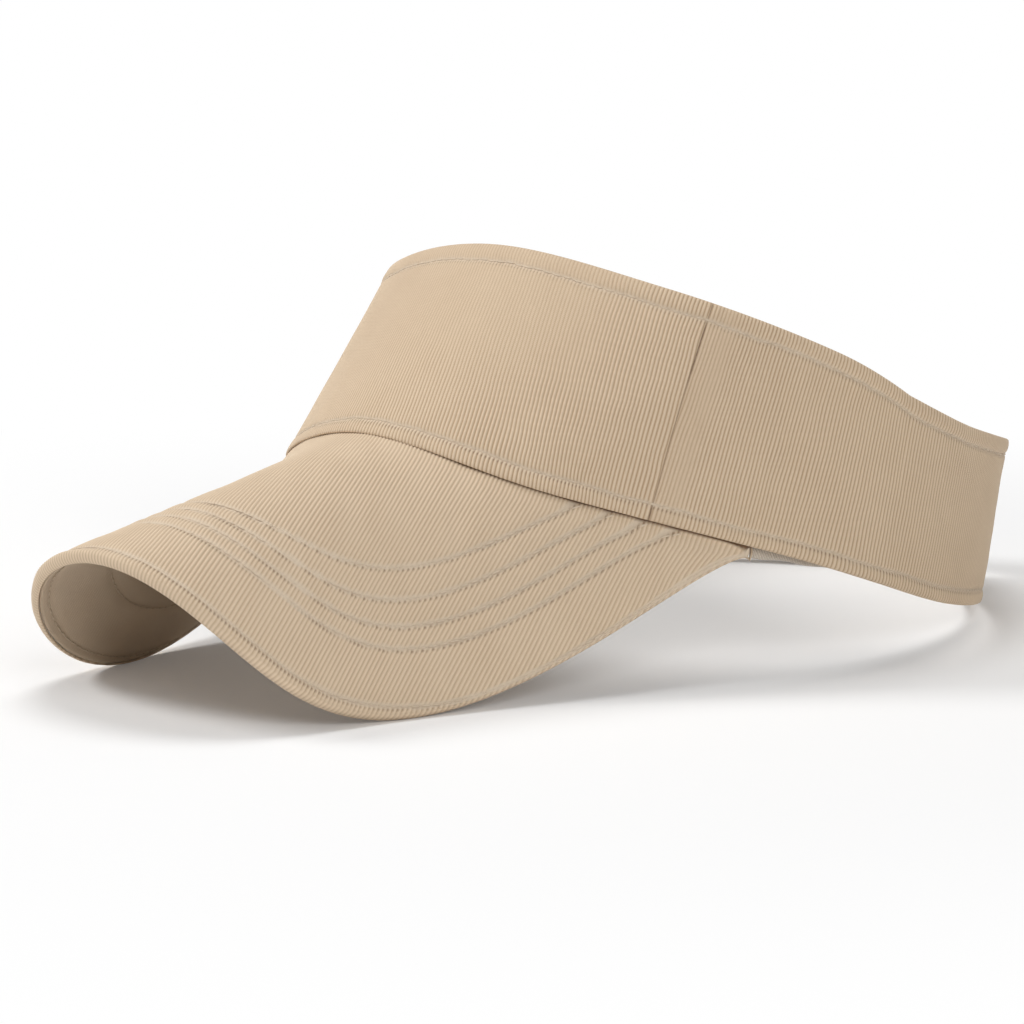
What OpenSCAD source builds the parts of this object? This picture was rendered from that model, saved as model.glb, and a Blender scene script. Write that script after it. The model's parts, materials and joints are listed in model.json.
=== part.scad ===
// Sun visor: an open-crown fabric band with a curved brim and a hook-and-loop closure.
// Head frame: +Z up through the head, front towards -Y, the wearer's left towards +X.
// Angles run round the band from 0 at the front centre to 180 at the back centre.

/* [Head opening] */
// Width of the band at its bottom edge
band_w = 170; // [140:1:205]
// Depth of the bottom edge from its widest line to the front
front_depth = 110; // [91:1:132]
// Depth of the bottom edge from its widest line to the back
back_depth = 101; // [84:1:122]

/* [Band] */
// Height of the band at the front centre
front_h = 52.5; // [42:0.5:64]
// Height of the band at the temples
temple_h = 55; // [44:0.5:67]
// Height of the band beside the ears
side_h = 50; // [40:0.5:62]
// Height of the band at the back centre
back_h = 43.5; // [40:0.5:53]
// How far the bottom edge arches up at the front centre
front_rise = 24.5; // [10:0.5:30]
// How far the front leans in from its bottom to its top edge
front_lean = 39.5; // [20:0.5:46]
// How far the back leans out from its bottom to its top edge
back_flare = 4.5; // [0:0.1:8]
// Angle from the front centre to each side seam, at the bottom edge
seam_angle = 49.5; // [40:0.1:60]
// How far each side seam leans forward at its top, as an angle
seam_lean = 5.8; // [0:0.1:8]

/* [Cloth layers] */
// Thickness of the outer ribbed cloth
cloth_t = 1.0; // [0.6:0.1:1.4]
// Thickness of the stiff interlining behind the front panel
interlining_t = 0.6; // [0.3:0.1:1]
// Thickness of the inner facing
facing_t = 0.8; // [0.5:0.1:1.2]
// Thickness of the sweatband
sweatband_t = 2.0; // [1:0.1:3]
// Height of the sweatband
sweatband_h = 32; // [20:1:38]

/* [Brim] */
// Length of the brim from the band to its front edge, along the slope
brim_len = 92.5; // [60:1:110]
// Angle by which the brim slopes down from the band
brim_drop = 22.2; // [10:0.1:35]
// Bend radius of the brim where it meets the band
brim_bend_back = 63; // [57:1:90]
// Bend radius of the brim at its front edge
brim_bend_front = 41.5; // [35:0.5:90]
// How squarely the front edge turns into the sides of the brim
brim_fullness = 126; // [100:1:140]
// Angle from the front centre to each end of the brim seam
brim_seam_angle = 67; // [55:0.1:75]
// Thickness of the stiffening board
board_t = 1.6; // [1:0.1:2.4]
// Thickness of each brim cover
cover_t = 0.7; // [0.4:0.1:1.2]

/* [Closure] */
// Width of the gap between the two ends of the band
end_gap = 24; // [18:1:34]
// Height of the hook-and-loop strap
strap_h = 20; // [16:1:24]
// Height of the strap's centre above the bottom edge
strap_mid = 26; // [22:0.5:29]
// Thickness of the strap webbing
strap_t = 1.2; // [0.8:0.1:1.6]
// How far the tab laps over the loop patch
strap_lap = 28; // [20:1:34]
// Thickness of the loop patch
loop_t = 1.2; // [0.8:0.1:1.6]
// Thickness of the hook patch
hook_t = 1.0; // [0.6:0.1:1.4]

/* [Hidden] */

cloth_colour = [0.80, 0.70, 0.58];
lining_colour = [0.84, 0.76, 0.65];
thread_colour = [0.86, 0.78, 0.67];
board_colour = [0.93, 0.93, 0.91];
tape_colour = [0.76, 0.66, 0.54];

// Facets: one step of angle round the band, and the brim's grid
step = 5;
brim_across = 48;
brim_rows = 8;

// Clearances
layer_gap = 0.2;    // between layers whose facets differ
body_gap = 0.8;     // between the fixed band and its flexing rear halves
closure_gap = 0.8;  // between the hooks and the loops, so that they slide past each other
tab_ease = 0.4;     // by which the tab stands further off at its tip
brim_gap = 0.3;     // between the band's bottom edge and the brim

// Depths of the layers below the band's outer face
interlining_d = cloth_t;
facing_d = cloth_t + interlining_t;
inner_d = facing_d + facing_t;
sweatband_d = inner_d + layer_gap;

// ---- The band's surface ----

// Rise of the bottom edge and height of the band, at angles from the front centre
rise_knots = [[0, front_rise], [35, 0.64 * front_rise], [70, 0.31 * front_rise],
    [110, -0.06 * front_rise], [180, 1.3]];
height_knots = [[0, front_h], [35, temple_h], [70, (temple_h + side_h) / 2],
    [110, (side_h + back_h) / 2], [180, back_h]];

// Smooth curve through the knots, level at both ends
function knot_slope(k, i) = i == 0 || i == len(k) - 1 ? 0
    : (k[i + 1][1] - k[i - 1][1]) / (k[i + 1][0] - k[i - 1][0]);
function knot_span(k, a, i = 0) = a <= k[i + 1][0] || i == len(k) - 2 ? i : knot_span(k, a, i + 1);
function through(k, a) = let (i = knot_span(k, a), w = k[i + 1][0] - k[i][0], s = (a - k[i][0]) / w)
    k[i][1] * (2 * s ^ 3 - 3 * s ^ 2 + 1) + knot_slope(k, i) * w * (s ^ 3 - 2 * s ^ 2 + s)
    + k[i + 1][1] * (3 * s ^ 2 - 2 * s ^ 3) + knot_slope(k, i + 1) * w * (s ^ 3 - s ^ 2);

function from_front(a) = abs(a) > 180 ? 360 - abs(a) : abs(a);
function height_at(a) = through(height_knots, from_front(a));

// Point of the band at angle a, share v of its height, and depth d below its outer face
function band(a, v, d = 0) = let (
        front = cos(a) > 0,
        half_depth = front ? front_depth - front_lean * v : back_depth + back_flare * v)
    [(band_w / 2 - d) * sin(a), -(half_depth - d) * cos(a),
        through(rise_knots, from_front(a)) + height_at(a) * v];

function seam_at(v) = seam_angle - seam_lean * v;

// The rear halves flex about the centre of the back's curve, so that the strap slides along it
hinge_y = back_depth - band_w ^ 2 / 4 / back_depth;
hinge_angle = acos(-hinge_y / back_depth);
half_gap_angle = body_gap / 2 / back_depth * 57.3;
end_angle = 180 - asin(end_gap / band_w);

// The closure: the tab leaves the right end, crosses the gap and laps over the left end
function back_angle(arc) = arc / (band_w / 2) * 180 / PI;
right_end = 360 - end_angle;
tab_start = right_end - back_angle(0.2);
tab_tip = end_angle - back_angle(strap_lap);
tab_rise = loop_t + closure_gap + hook_t + layer_gap;
tab_ramp = back_angle(9);
tab_off = function (a) let (s = max(0, min(1, (tab_start - a) / tab_ramp)))
    -tab_rise * s * s * (3 - 2 * s) - tab_ease * (tab_start - a) / (tab_start - tab_tip);
// Depth of the tab's outer face
function strap_face(a) = tab_off(a) - layer_gap - strap_t;
strap_low = strap_mid - strap_h / 2;
strap_high = strap_mid + strap_h / 2;

// ---- Shells between two matching grids of points ----

module shell(outer, inner) {
    rows = len(outer);
    cols = len(outer[0]);
    n = rows * cols;
    function at(i, j) = i * cols + j;
    points = [for (grid = [outer, inner]) for (row = grid) for (p = row) p];
    skin = [for (i = [0:rows - 2]) for (j = [0:cols - 2]) for (f = [
        [at(i, j), at(i + 1, j), at(i + 1, j + 1)],
        [at(i, j), at(i + 1, j + 1), at(i, j + 1)]]) f];
    lining = [for (f = skin) [f[2] + n, f[1] + n, f[0] + n]];
    rim = concat(
        [for (j = [0:cols - 2]) [at(0, j), at(0, j + 1)]],
        [for (i = [0:rows - 2]) [at(i, cols - 1), at(i + 1, cols - 1)]],
        [for (j = [cols - 1:-1:1]) [at(rows - 1, j), at(rows - 1, j - 1)]],
        [for (i = [rows - 1:-1:1]) [at(i, 0), at(i - 1, 0)]]);
    wall = [for (e = rim) for (f = [[e[0], e[1], e[1] + n], [e[0], e[1] + n, e[0] + n]]) f];
    polyhedron(points, concat(skin, lining, wall));
}

function steps(from, to, count) = [for (i = [0:count]) from + (to - from) * i / count];

// A height in mm as a share of the band's height: from the bottom edge, or from the top if negative
function share(a, h) = h < 0 ? 1 + h / height_at(a) : h / height_at(a);

// A layer of the band between two edges, each an angle at the bottom and an angle at the top.
// A left and a right piece are the same layer on either side of the front centre.
module band_layer(start, end, d, t, bottom = 0, top = undef, rows = 3, off = function (a) 0) {
    columns = ceil(max(abs(end[0] - start[0]), abs(end[1] - start[1])) / step);
    function edge(side, v) = side[0] + (side[1] - side[0]) * v;
    function grid(depth) = [for (i = [0:rows]) [for (s = steps(0, 1, columns)) let (
            mid = edge(start, 0.5) * (1 - s) + edge(end, 0.5) * s,
            low = share(mid, bottom),
            high = is_undef(top) ? 1 : share(mid, top),
            v = low + (high - low) * i / rows,
            a = edge(start, v) * (1 - s) + edge(end, v) * s)
        band(a, v, depth + off(a))]];
    stand() shell(grid(d), grid(d + t));
}

module side_layer(side, start, end, d, t, bottom = 0, top = undef, rows = 3) {
    if (side > 0) band_layer(start, end, d, t, bottom, top, rows);
    else band_layer(-end, -start, d, t, bottom, top, rows);
}

// ---- The brim's surface ----

slope_dir = [0, -cos(brim_drop), -sin(brim_drop)];
slope_up = [0, -sin(brim_drop), cos(brim_drop)];
brim_t = board_t + 2 * cover_t;
brim_d = cloth_t + interlining_t;
tuck = brim_t / 2 + brim_gap;
brim_start = band(0, 0, brim_d) - [0, 0, tuck];

function bend_r(t) = max(30, brim_bend_back + (brim_bend_front - brim_bend_back) * t / brim_len);
function seam_point(u) = band(u * brim_seam_angle, 0, brim_d) - [0, 0, tuck];

// The brim's corner, laid out flat and in space
corner = seam_point(1) - brim_start;
corner_t = corner * slope_dir;
corner_arc = asin(min(0.999, corner[0] / bend_r(corner_t)));
corner_s = bend_r(corner_t) * corner_arc * PI / 180;
corner_off = corner * slope_up + bend_r(corner_t) * (1 - cos(corner_arc));

// Flat outline of one half, from the corner to the front centre, as a Bezier curve
side_pull = [-35, 14];
outline = [[corner_s, corner_t], [corner_s, corner_t] + side_pull, [brim_fullness, brim_len], [0, brim_len]];
function flat_edge(w) = outline[0] * (1 - w) ^ 3 + outline[1] * 3 * (1 - w) ^ 2 * w
    + outline[2] * 3 * (1 - w) * w ^ 2 + outline[3] * w ^ 3;
// The flat outline bent to its radius, eased up to the band's edge at the corner
function edge_point(u) = let (
        w = 1 - abs(u), p = flat_edge(w), r = bend_r(p[1]), arc = p[0] / r * 180 / PI,
        up = corner_off * (1 - w) ^ 2 - r * (1 - cos(arc)))
    brim_start + [sign(u) * r * sin(arc), 0, 0] + slope_dir * p[1] + slope_up * up;

function unit(p) = p / norm(p);
// Middle surface: u runs from the right corner, -1, to the left, 1; q from the seam, 0, to the edge, 1
function brim_mid(u, q) = seam_point(u) * (1 - q) + edge_point(u) * q;
function brim_up(u, q) = unit(cross(brim_mid(u, q + 0.02) - brim_mid(u, q - 0.02),
    brim_mid(u + 0.01, q) - brim_mid(u - 0.01, q)));
function brim_out(u) = unit(edge_point(u) - seam_point(u));
// Point of the brim at height h above its middle surface and e beyond its edge line
function brim(u, q, h, e = 0) = brim_mid(u, q) + brim_up(u, q) * h + brim_out(u) * e;

brim_end = 0.98;
// Columns across the brim, closer together at the front, where the edge turns most between them
function across(end, count) = [for (t = steps(-1, 1, count)) end * t * (0.45 + 0.55 * abs(t))];
brim_us = across(brim_end, brim_across);
function brim_row(q, h, e = 0) = [for (u = brim_us) brim(u, q, h, e)];
function brim_grid(h) = [for (q = steps(0, 1, brim_rows)) brim_row(q, h)];

// The top cover turns round the edge: height and reach of its outer and inner face there
wrap = [[0.37 * brim_t, 0.7 * cover_t], [0, cover_t], [-0.37 * brim_t, 0.7 * cover_t],
    [-0.5 * brim_t, 0.4 * cover_t]];
wrap_inside = [[0.3 * board_t, 0], [0, 0], [-0.5 * board_t, 0], [-0.5 * brim_t, 0]];

// ---- Resting place: on both wings of the brim and the band's back edge ----

wing_points = [for (u = steps(0.3, 0.95, 26)) for (k = wrap) brim(u, 1, k[0], k[1])];
back_points = [for (a = [120:2:180]) band(a, 0)];
function lean_z(p, tilt) = p[2] * cos(tilt) - p[1] * sin(tilt);
function lowest(points, tilt) = let (
        zs = [for (p = points) lean_z(p, tilt)], m = min(zs))
    [for (i = [0:len(points) - 1]) if (zs[i] == m) points[i]][0];
function rest_tilt(tilt, tries) = tries == 0 ? tilt
    : let (a = lowest(wing_points, tilt), b = lowest(back_points, tilt))
    rest_tilt(atan((a[2] - b[2]) / (a[1] - b[1])), tries - 1);
tilt = rest_tilt(10, 5);
lift = -lean_z(lowest(wing_points, tilt), tilt);
function lean_y(p) = p[1] * cos(tilt) + p[2] * sin(tilt);
front_reach = lean_y(brim(0, 1, 0, cover_t));
back_reach = max(lean_y(band(end_angle, 1)), lean_y(band(180, share(180, strap_high), strap_face(180))));
shift = -(front_reach + back_reach) / 2;

// Places a piece made in the head frame on the surface it rests on
module stand() {
    translate([0, shift, lift]) rotate([-tilt, 0, 0]) children();
}

// ---- Front of the band ----

seam = [seam_at(0), seam_at(1)];
hinge_front = [1, 1] * (hinge_angle - half_gap_angle);
hinge_rear = [1, 1] * (hinge_angle + half_gap_angle);
rear_end = [1, 1] * end_angle;

// Threads stand proud of the cloth
thread_w = 0.5;
thread_h = 0.3;
top_hem = 4.5;
bottom_hem = 4;

module band_thread(start, end, height) {
    color(thread_colour)
        band_layer(start, end, -layer_gap - thread_h, thread_h, height, height + thread_w, 1);
}

module hem_threads(start, end) {
    band_thread(start, end, -top_hem);
    band_thread(start, end, bottom_hem);
}

module front_panel() {
    color(cloth_colour) band_layer(-seam, seam, 0, cloth_t);
}

module front_interlining() {
    color(board_colour) band_layer(-seam, seam, interlining_d, interlining_t);
}

module front_facing() {
    color(lining_colour) band_layer(-seam, seam, facing_d, facing_t);
}

module front_sweatband() {
    color(lining_colour)
        band_layer(-hinge_front, hinge_front, sweatband_d, sweatband_t, sweatband_low, sweatband_top);
}

module front_band_stitching() {
    hem_threads(-hinge_front, hinge_front);
}

module side_seam_stitching() {
    beside_seam = seam - [1, 1] * back_angle(2);
    width = [1, 1] * back_angle(thread_w);
    color(thread_colour) for (side = [-1, 1])
        side_layer(side, beside_seam, beside_seam + width, -layer_gap - thread_h, thread_h,
            bottom_hem + 1, -top_hem - 1);
}

// ---- Sides of the band ----

sweatband_low = 1;
sweatband_top = sweatband_low + sweatband_h;
tape_half = [1, 1] * back_angle(4);
tape_t = 0.4;

// The side cloth is backed by its own fused lining, so it fills the interlining's depth too
module side_cloth(side, start, end) {
    color(cloth_colour) side_layer(side, start, end, 0, facing_d);
}

module side_facing(side, start, end) {
    color(lining_colour) side_layer(side, start, end, facing_d, facing_t);
}

module seam_tape(side) {
    color(tape_colour) side_layer(side, seam - tape_half, seam + tape_half,
        inner_d + 2 * layer_gap, tape_t, sweatband_top + 0.5, -1);
}

module left_side_panel() { side_cloth(1, seam, hinge_front); }
module right_side_panel() { side_cloth(-1, seam, hinge_front); }
module left_side_facing() { side_facing(1, seam, hinge_front); }
module right_side_facing() { side_facing(-1, seam, hinge_front); }
module left_seam_tape() { seam_tape(1); }
module right_seam_tape() { seam_tape(-1); }

// ---- Rear halves of the band ----

module rear_sweatband(side) {
    color(lining_colour)
        side_layer(side, hinge_rear, rear_end, sweatband_d, sweatband_t, sweatband_low, sweatband_top);
}

module rear_stitching(side) {
    start = side > 0 ? hinge_rear : -rear_end;
    end = side > 0 ? rear_end : -hinge_rear;
    hem_threads(start, end);
}

module left_rear_panel() { side_cloth(1, hinge_rear, rear_end); }
module right_rear_panel() { side_cloth(-1, hinge_rear, rear_end); }
module left_rear_facing() { side_facing(1, hinge_rear, rear_end); }
module right_rear_facing() { side_facing(-1, hinge_rear, rear_end); }
module left_rear_sweatband() { rear_sweatband(1); }
module right_rear_sweatband() { rear_sweatband(-1); }
module left_rear_stitching() { rear_stitching(1); }
module right_rear_stitching() { rear_stitching(-1); }

// Bare woven label sewn to the inside of the left half
module size_label() {
    label_w = [1, 1] * back_angle(18);
    start = [1, 1] * (end_angle - back_angle(34));
    color("white") band_layer(start, start + label_w, sweatband_d + sweatband_t + layer_gap, 0.3, 9, 21);
}

// ---- Hook-and-loop closure ----

module loop_patch() {
    end = [1, 1] * (end_angle - back_angle(1));
    start = [1, 1] * (tab_tip - back_angle(12));
    color(tape_colour)
        band_layer(start, end, -loop_t - layer_gap, loop_t, strap_low + 0.5, strap_high - 0.5);
}

base_end = right_end + back_angle(20);

module strap_base() {
    color(cloth_colour) band_layer([1, 1] * (right_end + back_angle(0.3)), [1, 1] * base_end,
        -layer_gap - strap_t, strap_t, strap_low, strap_high);
}

// Threads of the box that holds the strap's base
module strap_box_stitch() {
    inset = 2.5;
    d = -2 * layer_gap - strap_t - thread_h;
    first = right_end + back_angle(inset);
    last = base_end - back_angle(inset);
    width = back_angle(thread_w);
    corner_clear = back_angle(0.3);
    color(thread_colour) {
        for (a = [first, last - width])
            band_layer([1, 1] * a, [1, 1] * (a + width), d, thread_h,
                strap_low + inset, strap_high - inset, 1);
        for (h = [strap_low + inset, strap_high - inset - thread_w])
            band_layer([1, 1] * (first + width + corner_clear), [1, 1] * (last - width - corner_clear),
                d, thread_h, h, h + thread_w, 1);
    }
}

module strap_tab() {
    color(cloth_colour) band_layer([1, 1] * tab_tip, [1, 1] * tab_start,
        -layer_gap - strap_t, strap_t, strap_low, strap_high, off = tab_off);
}

module hook_patch() {
    start = [1, 1] * (tab_tip + back_angle(1));
    end = [1, 1] * (end_angle - back_angle(1));
    color(board_colour) band_layer(start, end,
        0, hook_t, strap_low + 1, strap_high - 1, off = tab_off);
}

// ---- Brim ----

module brim_top_cover() {
    half = brim_t / 2;
    outside = concat(brim_grid(half), [for (k = wrap) brim_row(1, k[0], k[1])]);
    inside = concat(brim_grid(half - cover_t), [for (k = wrap_inside) brim_row(1, k[0], k[1])]);
    color(cloth_colour) stand() shell(inside, outside);
}

module brim_board() {
    color(board_colour) stand() shell(brim_grid(-board_t / 2), brim_grid(board_t / 2));
}

module brim_under_cover() {
    color(lining_colour) stand() shell(brim_grid(-brim_t / 2), brim_grid(-board_t / 2));
}

// Rows of stitches: each starts at the seam, swings round the front and returns to the seam
stitch_rows = 4;
function row_end(k) = 0.575 + 0.076 * k;
function row_mid(k) = 0.59 + 0.0585 * k;
function row_q(k, u) = row_mid(k) * (1 - (abs(u) / row_end(k)) ^ (1.8 + 0.6 * k));
edge_inset = 3;

module brim_thread(us, q_at, reach) {
    base = brim_t / 2 + layer_gap;
    function side(h, e) = [for (u = us) brim(u, q_at(u), h, reach + e)];
    function face(h) = [side(h, -thread_w / 2), side(h, thread_w / 2)];
    color(thread_colour) stand() shell(face(base), face(base + thread_h));
}

module brim_stitching() {
    for (k = [0:stitch_rows - 1])
        brim_thread(across(row_end(k), brim_across), function (u) row_q(k, u), thread_w);
    brim_thread(across(0.93, brim_across), function (u) 1, -edge_inset);
}

front_panel();
front_interlining();
front_facing();
front_sweatband();
left_side_panel();
right_side_panel();
left_side_facing();
right_side_facing();
left_seam_tape();
right_seam_tape();
brim_top_cover();
brim_board();
brim_under_cover();
brim_stitching();
front_band_stitching();
side_seam_stitching();
left_rear_panel();
left_rear_facing();
left_rear_sweatband();
left_rear_stitching();
loop_patch();
size_label();
right_rear_panel();
right_rear_facing();
right_rear_sweatband();
right_rear_stitching();
strap_base();
strap_box_stitch();
strap_tab();
hook_patch();
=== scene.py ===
import json
import math

import bmesh
import bpy
import numpy as np
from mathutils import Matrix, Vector


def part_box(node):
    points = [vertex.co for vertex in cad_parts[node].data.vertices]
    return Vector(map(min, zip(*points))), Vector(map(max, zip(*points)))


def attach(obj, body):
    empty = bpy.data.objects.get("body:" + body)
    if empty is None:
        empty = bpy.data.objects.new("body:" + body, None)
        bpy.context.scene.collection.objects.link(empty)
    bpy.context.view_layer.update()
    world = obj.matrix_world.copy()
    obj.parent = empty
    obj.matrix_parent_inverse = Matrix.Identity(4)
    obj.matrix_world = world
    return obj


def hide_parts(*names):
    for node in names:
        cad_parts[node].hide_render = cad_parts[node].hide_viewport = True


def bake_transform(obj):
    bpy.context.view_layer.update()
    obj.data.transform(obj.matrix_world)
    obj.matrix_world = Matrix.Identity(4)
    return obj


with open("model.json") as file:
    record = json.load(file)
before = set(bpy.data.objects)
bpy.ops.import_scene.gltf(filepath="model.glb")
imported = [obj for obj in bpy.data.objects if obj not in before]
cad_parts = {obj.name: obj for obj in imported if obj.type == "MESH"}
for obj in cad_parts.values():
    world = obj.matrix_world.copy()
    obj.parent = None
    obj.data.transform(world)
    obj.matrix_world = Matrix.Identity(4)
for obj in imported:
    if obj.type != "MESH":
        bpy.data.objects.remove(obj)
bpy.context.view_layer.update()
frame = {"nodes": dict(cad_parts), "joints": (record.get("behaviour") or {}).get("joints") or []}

# ---- Sizes in millimetres in the head frame, as in the part's source ----
# Head frame: +Z up through the head, front towards -Y. Angles run from 0 at the front centre to 180.

MM = 0.001
BAND_W = 170
FRONT_DEPTH = 110
BACK_DEPTH = 101
FRONT_LEAN = 39.5
BACK_FLARE = 4.5
FRONT_RISE = 24.5
FRONT_H, TEMPLE_H, SIDE_H, BACK_H = 52.5, 55, 50, 43.5
SEAM_ANGLE = 49.5
SEAM_LEAN = 5.8
CLOTH_T = 1.0
INTERLINING_T = 0.6
FACING_T = 0.8
SWEATBAND_T = 2.0
SWEATBAND_LOW, SWEATBAND_TOP = 1, 33
LAYER_GAP = 0.2
TOP_HEM = 4.5
BOTTOM_HEM = 4.0

BRIM_LEN = 92.5
BRIM_DROP = math.radians(22.2)
BEND_BACK = 63
BEND_FRONT = 41.5
BRIM_FULLNESS = 126
BRIM_SEAM_ANGLE = 67
BRIM_END = 0.98
SIDE_PULL = (-35, 14)
BOARD_T = 1.6
COVER_T = 0.7
BRIM_GAP = 0.3
EDGE_INSET = 3
LIP_INSET = 0.8

END_GAP = 24
STRAP_H = 20
STRAP_MID = 26
STRAP_T = 1.2
STRAP_LAP = 28
LOOP_T = 1.2
HOOK_T = 1.0
CLOSURE_GAP = 0.8
TAB_EASE = 0.4

# Ribs of the outer cloth
RIB_RELIEF = 0.28
BRIM_RELIEF = 0.42
STEPS_PER_RIB = 5
MM_PER_DEGREE = 1.6  # along the band, roughly

RISE_KNOTS = [(0, FRONT_RISE), (35, 0.64 * FRONT_RISE), (70, 0.31 * FRONT_RISE),
              (110, -0.06 * FRONT_RISE), (180, 1.3)]
HEIGHT_KNOTS = [(0, FRONT_H), (35, TEMPLE_H), (70, (TEMPLE_H + SIDE_H) / 2),
                (110, (SIDE_H + BACK_H) / 2), (180, BACK_H)]


# ---- Curves and noise ----

def smooth(low, high, x):
    s = np.clip((x - low) / (high - low), 0, 1)
    return s * s * (3 - 2 * s)


def hump(x, half_width):
    return np.exp(-(x / half_width) ** 2)


def through(knots, a):
    """Smooth curve through the knots, level at both ends."""
    k = np.array(knots, float)
    a = np.abs(np.asarray(a, float))
    a = np.where(a > 180, 360 - a, a)
    i = np.clip(np.searchsorted(k[:, 0], a, side="left") - 1, 0, len(k) - 2)
    slope = np.zeros(len(k))
    slope[1:-1] = (k[2:, 1] - k[:-2, 1]) / (k[2:, 0] - k[:-2, 0])
    w = k[i + 1, 0] - k[i, 0]
    s = (a - k[i, 0]) / w
    return (k[i, 1] * (2 * s ** 3 - 3 * s ** 2 + 1) + slope[i] * w * (s ** 3 - 2 * s ** 2 + s)
            + k[i + 1, 1] * (3 * s ** 2 - 2 * s ** 3) + slope[i + 1] * w * (s ** 3 - s ** 2))


def ripple(x, y, length, seed):
    """Soft noise between about -1 and 1, with features of about that length."""
    random = np.random.default_rng(seed)
    total = 0
    for _ in range(6):
        turn, phase = random.uniform(0, 2 * math.pi, 2)
        size = length * random.uniform(0.7, 1.6)
        total = total + np.sin(2 * math.pi * (x * math.cos(turn) + y * math.sin(turn)) / size + phase)
    return total / 3


def unit(p):
    return p / np.linalg.norm(p, axis=-1, keepdims=True)


# ---- The band's surface ----

def height_at(a):
    return through(HEIGHT_KNOTS, a)


def band(a, v, d=0):
    """Point at angle a, share v of the band's height and depth d below its outer face."""
    a = np.asarray(a, float)
    c = np.cos(np.radians(a))
    half_depth = np.where(c > 0, FRONT_DEPTH - FRONT_LEAN * v, BACK_DEPTH + BACK_FLARE * v)
    return np.stack(np.broadcast_arrays(
        (BAND_W / 2 - d) * np.sin(np.radians(a)), -(half_depth - d) * c,
        through(RISE_KNOTS, a) + height_at(a) * v), -1)


def band_at(a, h, d=0):
    """The same, at height h above the bottom edge."""
    return band(a, h / height_at(a), d)


def arc_per_degree(a, v=0.5):
    return np.linalg.norm(band(a + 0.5, v) - band(a - 0.5, v), axis=-1)


def back_angle(arc):
    return math.degrees(arc / (BAND_W / 2))


def seam_at(v):
    return SEAM_ANGLE - SEAM_LEAN * v


END_ANGLE = 180 - math.degrees(math.asin(END_GAP / BAND_W))

# ---- Where the head frame stands in the row frame ----

axis = frame["joints"][0]["axis"]
SIN_TILT, COS_TILT = axis[1], axis[2]


def lean(p):
    return np.stack([p[..., 0], p[..., 1] * COS_TILT + p[..., 2] * SIN_TILT,
                     -p[..., 1] * SIN_TILT + p[..., 2] * COS_TILT], -1)


panel_low, panel_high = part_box("front_panel")
SHIFT = panel_low.y / MM - lean(band(0, 0))[1]
LIFT = panel_high.z / MM - lean(band(0, 1))[2]


def stand(p):
    """Points of the head frame, in metres in the row frame."""
    return (lean(p) + np.array([0, SHIFT, LIFT])) * MM


# ---- The brim's surface ----

SLOPE_DIR = np.array([0, -math.cos(BRIM_DROP), -math.sin(BRIM_DROP)])
SLOPE_UP = np.array([0, -math.sin(BRIM_DROP), math.cos(BRIM_DROP)])
BRIM_T = BOARD_T + 2 * COVER_T
HALF_BRIM = BRIM_T / 2
BRIM_D = CLOTH_T + INTERLINING_T
NUDGE = 1e-4  # step in u and q over which a slope is measured


def bend_r(t):
    return np.maximum(30, BEND_BACK + (BEND_FRONT - BEND_BACK) * t / BRIM_LEN)


def seam_point(u):
    return band(np.asarray(u) * BRIM_SEAM_ANGLE, 0, BRIM_D) - np.array([0, 0, HALF_BRIM + BRIM_GAP])


BRIM_START = seam_point(0.0)


def flat_seam(u):
    p = seam_point(u) - BRIM_START
    t = p @ SLOPE_DIR
    r = bend_r(t)
    return np.stack([r * np.arcsin(np.clip(p[..., 0] / r, -0.999, 0.999)), t], -1)


CORNER = flat_seam(1.0)
CORNER_UP = (seam_point(1.0) - BRIM_START) @ SLOPE_UP + bend_r(CORNER[1]) * (
    1 - math.cos(CORNER[0] / bend_r(CORNER[1])))
OUTLINE = [CORNER, CORNER + SIDE_PULL, np.array([BRIM_FULLNESS, BRIM_LEN]), np.array([0, BRIM_LEN])]


def flat_edge(u):
    """The flat outline, as a Bezier curve from each corner to the front centre."""
    w = 1 - np.abs(np.asarray(u, float))[..., None]
    p = (OUTLINE[0] * (1 - w) ** 3 + OUTLINE[1] * 3 * (1 - w) ** 2 * w
         + OUTLINE[2] * 3 * (1 - w) * w ** 2 + OUTLINE[3] * w ** 3)
    return p * np.stack([np.sign(u), np.ones_like(u)], -1)


def edge_point(u):
    u = np.asarray(u, float)
    p = flat_edge(u)
    r = bend_r(p[..., 1])
    arc = p[..., 0] / r
    up = CORNER_UP * np.abs(u) ** 2 - r * (1 - np.cos(arc))
    side = np.stack([r * np.sin(arc), 0 * r, 0 * r], -1)
    return BRIM_START + side + p[..., 1:] * SLOPE_DIR + up[..., None] * SLOPE_UP


def brim_mid(u, q):
    return seam_point(u) * (1 - q)[..., None] + edge_point(u) * q[..., None]


STEEPEST = 0.86      # share of the bend's radius past which the seam is laid out straight
DRAWN_IN = 0.085     # share by which the edge is drawn in at the corners, so that no rib meets it twice


def laid_seam(u):
    p = seam_point(u) - BRIM_START
    t = p @ SLOPE_DIR
    r = bend_r(t)
    across = p[..., 0] / r
    bent = np.clip(across, -STEEPEST, STEEPEST)
    return np.stack([r * (np.arcsin(bent) + (across - bent) / math.sqrt(1 - STEEPEST ** 2)), t], -1)


def laid_edge(u):
    p = flat_edge(u)
    return p * np.stack([1 - DRAWN_IN * smooth(0.75, 1, np.abs(u)), np.ones_like(u)], -1)


def flat(u, q):
    """A point of the brim's cloth laid out flat: distance across it and distance forward."""
    return laid_seam(u) * (1 - q)[..., None] + laid_edge(u) * q[..., None]


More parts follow.
